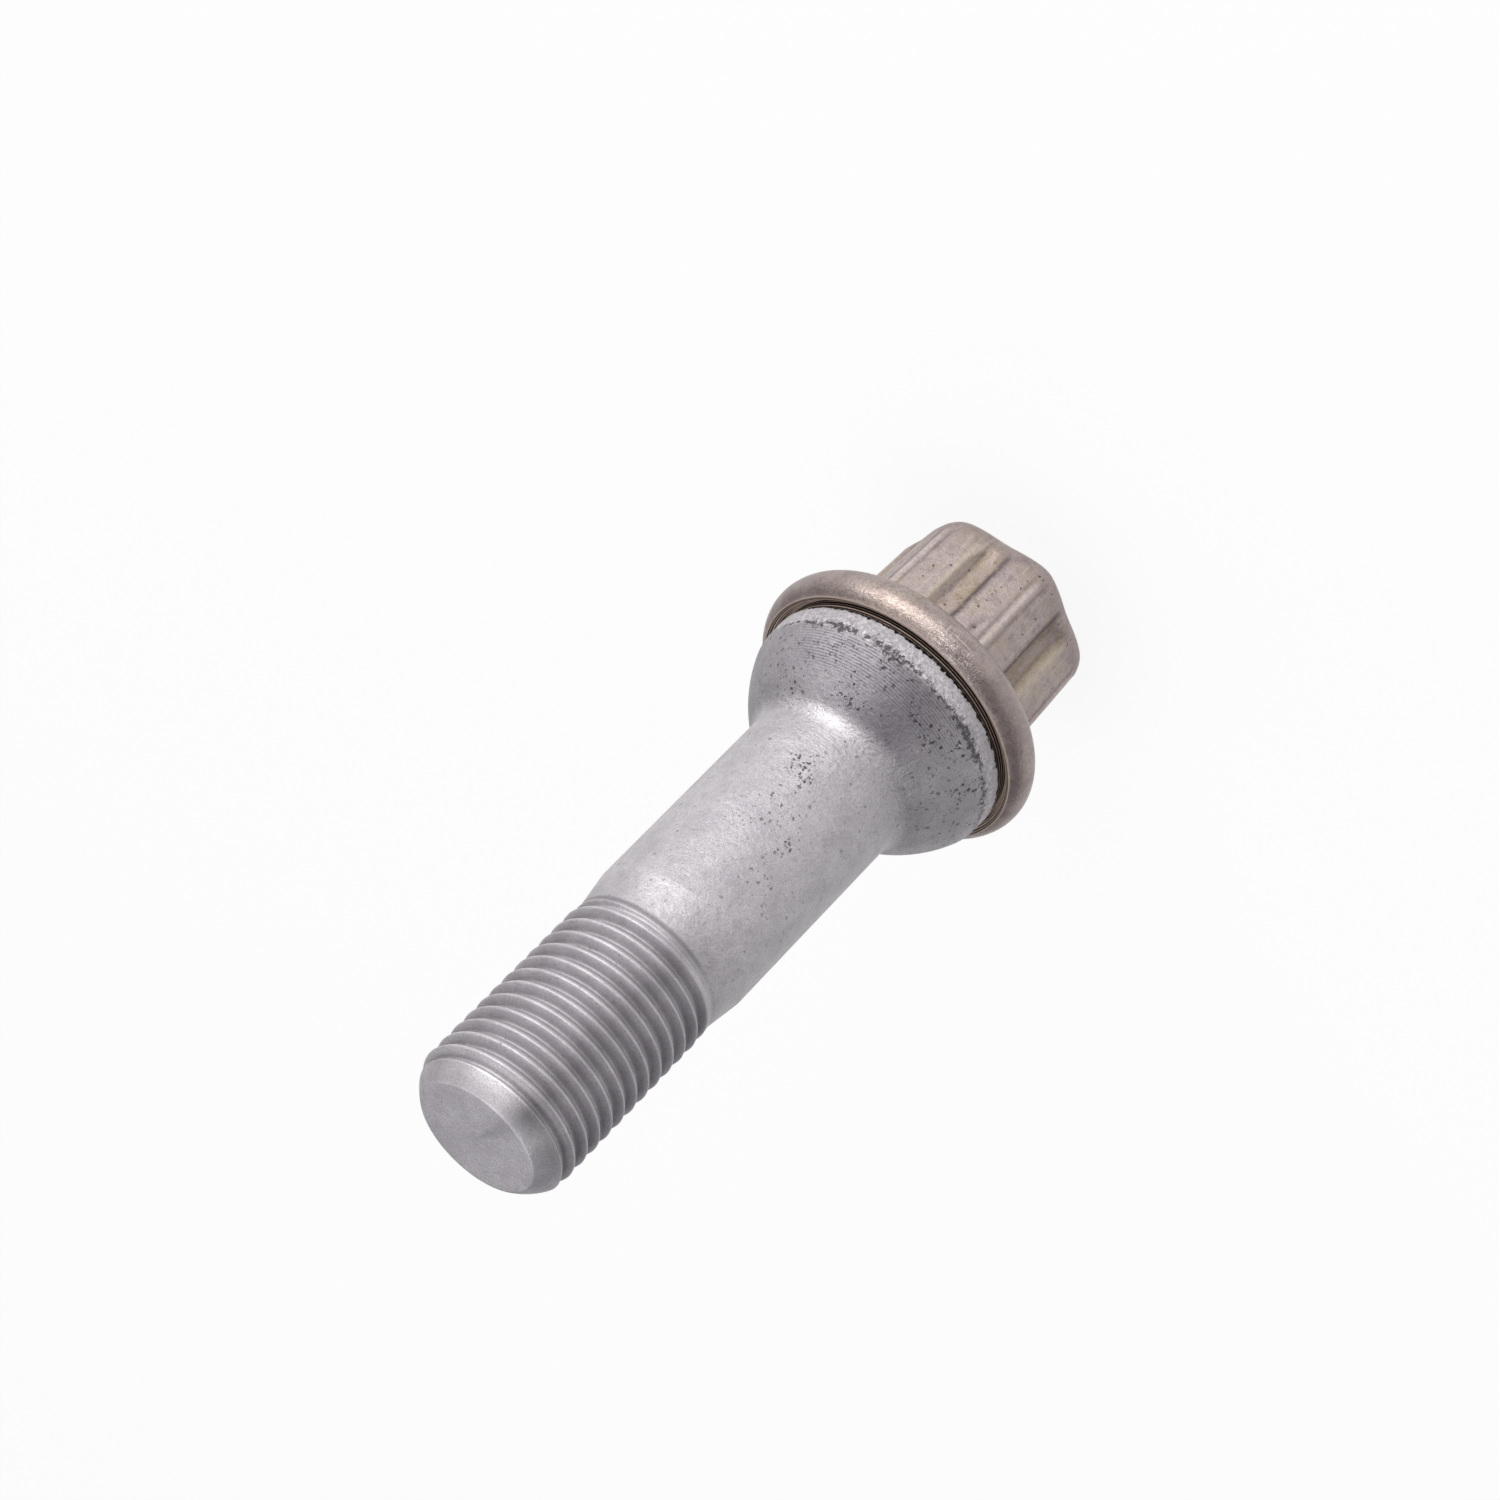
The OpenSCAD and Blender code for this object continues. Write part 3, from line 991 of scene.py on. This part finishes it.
def zinc_flake():
    """Silver-grey coating with turning marks, pits, a clean edge band and a broken, dark seam."""
    tree = Tree("zinc_flake_steel")
    z = tree.add("SeparateXYZ", {"Vector": tree.mm}).outputs["Z"]
    on_thread = tree.read("smooth_zone")
    off_thread = tree.without(on_thread)
    grain = tree.noise(9.0, 3.0, 0.65)
    ragged, torn = tree.noise(2.4, 5.0, 0.75), tree.noise(1.7, 5.0, 0.75)
    chewed = tree.sum(z, tree.times(tree.step(torn, 0.42, 0.62), -0.24))
    above_gap = tree.step(chewed, *BAND_START_Z)
    in_gap = tree.without(above_gap)

    coat_zinc(tree, grain, off_thread)
    turned = coat_turning_marks(tree)
    band = coat_band(tree, z, ragged, above_gap)
    seam = coat_seam(tree, z, ragged)
    coat_gap(tree, z, ragged, in_gap)
    dark = coat_pits(tree, off_thread, in_gap)

    quiet = tree.without(tree.times(on_thread, 0.6))
    wrinkles = tree.noise(1.6, 4.0, 0.65, stretch=(1.0, 1.0, 2.5))
    normal = tree.relief(
        tree.times(grain, 0.022, quiet),
        tree.times(tree.noise(2.4, 4.0, 0.6), 0.085, quiet),
        tree.times(wrinkles, 0.11, tree.read("wrinkled")),
        turned,
        tree.times(dark, -0.06),
        seam,
        band,
    )
    rough = tree.sum(
        tree.step(grain, 0.2, 0.8, 0.40, 0.54),
        tree.times(dark, 0.25),
        tree.times(tree.read("dull"), 0.14),
        tree.times(on_thread, 0.08),
    )
    return tree.finish(Base_Color=tree.colour, Roughness=rough, Metallic=0.6, Normal=normal)


def coat_cap(tree, head):
    """The cap's clouded browns, flecked on the flange, with a golden painted highlight on the flange."""
    cloudy = tree.step(tree.noise(0.55, 5.0, 0.65), 0.35, 0.65)
    flecks = tree.step(tree.noise(3.5, 5.0, 0.75), 0.42, 0.58)
    tree.colour = tree.mix(head, tree.mix(cloudy, *FLANGE), tree.mix(cloudy, *HEAD))
    tree.coat(FLECK, tree.without(head), flecks, 0.25)
    # Golden painted highlight on the flange, broken by flecks
    tree.coat(FLANGE_HIGHLIGHT, tree.read("flange_highlight"), tree.step(flecks, 0.0, 1.0, 0.55, 0.08))


def coat_stains(tree, head):
    """Olive flutes, smudges, tarnish and drawn streaks on the head."""
    drawn = tree.noise(1.1, 4.0, 0.6, stretch=(1.0, 1.0, 0.22))
    streaks = tree.noise(2.2, 3.0, 0.6, stretch=(1.0, 1.0, 0.12))
    tree.coat(FLUTE_STAIN, tree.read("flute"), tree.step(drawn, 0.40, 0.62), 0.8)
    tree.coat(SMUDGE, head, tree.step(tree.noise(1.3, 5.0, 0.7), 0.50, 0.66), 0.45)
    tree.coat(TARNISH, head, tree.step(tree.noise(0.55, 5.0, 0.65), 0.46, 0.60), 0.42)
    tree.coat(RIM, tree.read("rim"), 0.35)
    tree.coat(NICK_DARK, tree.read("nick"))
    tree.coat(STREAK, head, tree.step(streaks, 0.50, 0.70), 0.30)


def coat_edges(tree, flute_edge_shade):
    """Painted shade along the flutes' edges and the ridges' sides.

    Painted highlights in the flutes' pale strips and on the ridges' tops.
    """
    broken = tree.step(tree.noise(1.6, 4.0, 0.6), 0.30, 0.50, 0.45, 1.0)
    tree.coat(EDGE_SHADE, flute_edge_shade, broken, 0.85)
    tree.coat(STRIP_HIGHLIGHT, tree.read("strip_highlight"), broken, 0.55)
    tree.coat(RIDGE_SHADE, tree.read("ridge_shade"), broken, 0.50)
    tree.coat(RIDGE_HIGHLIGHT, tree.read("ridge_highlight"), broken, 0.55)


def coat_lip(tree, lip):
    """Brown and black rings on the turned-in lip."""
    rings = tree.waves(tree.read("round"), RING_PITCH, 1.0, 0.05)
    tree.coat(tree.mix(tree.step(rings, -0.4, 0.7), *LIP), lip)


def nickel():
    """Warm, nickel-coloured sheet, stained on the head and smoother on the flange, with a ringed lip.

    Painted shade and highlights lie along the head's flutes and ridges, and a painted highlight on the
    flange.
    """
    tree = Tree("nickel_cap")
    head, lip, flute_edge_shade = tree.read("head"), tree.read("lip"), tree.read("flute_edge_shade")
    grain = tree.noise(8.0, 4.0, 0.65)
    coat_cap(tree, head)
    coat_stains(tree, head)
    coat_edges(tree, flute_edge_shade)
    tree.coat(CAP_GRAIN, tree.step(grain, 0.35, 0.65, 0.30, 0.0))
    specks = tree.spots(0.45, 0.14, tree.times(head, 0.30), tree.wobbled(2.5, 0.4))
    tree.coat(CAP_SPECK, specks, 0.7)

    across = tree.noise(7.0, 2.0, 0.6, stretch=(1.0, 1.0, 0.05))
    around = tree.noise(7.0, 2.0, 0.6, stretch=(0.08, 0.08, 1.0))
    scratch = tree.step(tree.math("MAXIMUM", across, around), 0.56, 0.64)
    scratch = tree.times(tree.read("scratches"), scratch)
    tree.coat(SCRATCH, scratch, 0.42)
    coat_lip(tree, lip)

    sparkle = tree.noise(4.0, 4.0, 0.7)
    normal = tree.relief(
        tree.times(grain, 0.020),
        tree.times(sparkle, 0.038),
        tree.times(tree.noise(1.8, 4.0), 0.07, head),
        tree.times(tree.noise(1.0, 3.0), 0.03),
        tree.times(specks, -0.04),
        tree.times(scratch, -0.006),
        tree.times(flute_edge_shade, -0.05),
    )
    rough = tree.sum(
        tree.step(sparkle, 0.3, 0.7, 0.27, 0.45),
        tree.times(head, 0.14),
        tree.times(tree.read("flute"), 0.14),
    )
    metallic = tree.step(lip, 0.0, 1.0, 0.75, 0.1)
    return tree.finish(Base_Color=tree.colour, Roughness=rough, Metallic=metallic, Normal=normal)


# Camera of the photo, in millimetres and degrees. It is rolled, because the real bolt lies and this one
# stands on its head.
CAMERA_AIM = (-0.757, 5.873, 27.697)
CAMERA_DISTANCE = 343.67
CAMERA_ELEVATION = 32.191
CAMERA_ROLL = -135.13
CAMERA_LENS = 104.175
CAMERA_SENSOR = 36

# Each lamp: azimuth and elevation in degrees, distance, width and height in metres, watts, colour
LAMPS = {
    "key": (50, 9, 0.50, 0.50, 0.14, 2.5, (1.0, 0.99, 0.97)),
    "overhead": (187, 80, 0.90, 0.80, 0.80, 5.6, (1.0, 1.0, 1.0)),
}
LAMP_AIM = Vector((0, 0, 0.03))
WORLD_LIGHT = rgb(0.17, 0.17, 0.18)

# Floor, in metres, and the share of its own look, with the shadow, that the camera sees over plain white
FLOOR_SIZE = 6.0
FLOOR_GREY = rgb(0.9, 0.9, 0.9)
FLOOR_SHADOW_SHARE = 0.09


def facing(azimuth, elevation, size):
    """A turn that takes +X to this azimuth and elevation, as a square matrix of this size."""
    level = Matrix.Rotation(math.radians(azimuth), size, "Z")
    return level @ Matrix.Rotation(-math.radians(elevation), size, "Y")


def camera_axes():
    """Columns: the picture's right, its up, and the way back to the camera."""
    upright = Matrix(((0, 0, 1), (1, 0, 0), (0, 1, 0)))
    roll = Matrix.Rotation(math.radians(CAMERA_ROLL), 3, "Z")
    return facing(CAMERA_AZIMUTH, CAMERA_ELEVATION, 3) @ upright @ roll


def add_camera():
    axes = camera_axes()
    data = bpy.data.cameras.new("photo_camera")
    data.lens = CAMERA_LENS
    data.sensor_width = CAMERA_SENSOR
    data.clip_start = 0.01
    camera = link(bpy.data.objects.new("photo_camera", data))
    place = (Vector(CAMERA_AIM) + axes.col[2] * CAMERA_DISTANCE) * MM
    camera.matrix_world = Matrix.Translation(place) @ axes.to_4x4()
    bpy.context.scene.camera = camera


def add_lamps():
    for name, (azimuth, elevation, distance, width, height, watts, colour) in LAMPS.items():
        data = bpy.data.lights.new(name, "AREA")
        data.shape, data.size, data.size_y = "RECTANGLE", width, height
        data.energy, data.color = watts, colour
        back = (facing(azimuth, elevation, 4) @ Vector((1, 0, 0))).normalized()
        lamp = link(bpy.data.objects.new(name, data))
        turned = back.to_track_quat("Z", "Y").to_matrix().to_4x4()
        lamp.matrix_world = Matrix.Translation(LAMP_AIM + back * distance) @ turned


def add_world():
    world = bpy.data.worlds.new("studio")
    bpy.context.scene.world = world
    world.use_nodes = True
    light = world.node_tree.nodes["Background"].inputs
    light["Color"].default_value = WORLD_LIGHT
    light["Strength"].default_value = 1.0


def floor_material():
    """Pale grey that keeps the object's shadow, almost white to the camera, to mirrors and through glass."""
    tree = Tree("studio_floor")
    tree.finish(Base_Color=FLOOR_GREY, Roughness=0.9)
    rays = tree.add("LightPath").outputs
    mirrored = tree.math("ADD", rays["Is Glossy Ray"], rays["Is Transmission Ray"])
    seen = tree.math("ADD", rays["Is Camera Ray"], mirrored, clamp=True)
    white = tree.add("Emission", {"Color": rgb(1, 1, 1), "Strength": 1.0}).outputs["Emission"]
    blend = tree.add("MixShader", {"Fac": tree.times(seen, 1 - FLOOR_SHADOW_SHARE)})
    tree.set(blend.inputs[1], tree.shader.outputs["BSDF"])
    tree.set(blend.inputs[2], white)
    tree.set(tree.nodes["Material Output"].inputs["Surface"], blend.outputs["Shader"])
    return tree.material


def add_floor():
    half = FLOOR_SIZE / 2
    corners = [(-half, -half, 0), (half, -half, 0), (half, half, 0), (-half, half, 0)]
    mesh = bpy.data.meshes.new("floor")
    mesh.from_pydata(corners, [], [(0, 1, 2, 3)])
    mesh.materials.append(floor_material())
    link(bpy.data.objects.new("floor", mesh))


def add_piece(piece, node, material):
    piece.data.materials.append(material)
    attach(piece, "root")
    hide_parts(node)


bolt, cap = build_bolt(), build_cap()
paint_bolt(bolt)
paint_cap(cap)
add_piece(bolt, "bolt", zinc_flake())
add_piece(cap, "head_cap", nickel())
add_camera()
add_lamps()
add_world()
add_floor()
bpy.context.scene.view_settings.view_transform = "Standard"
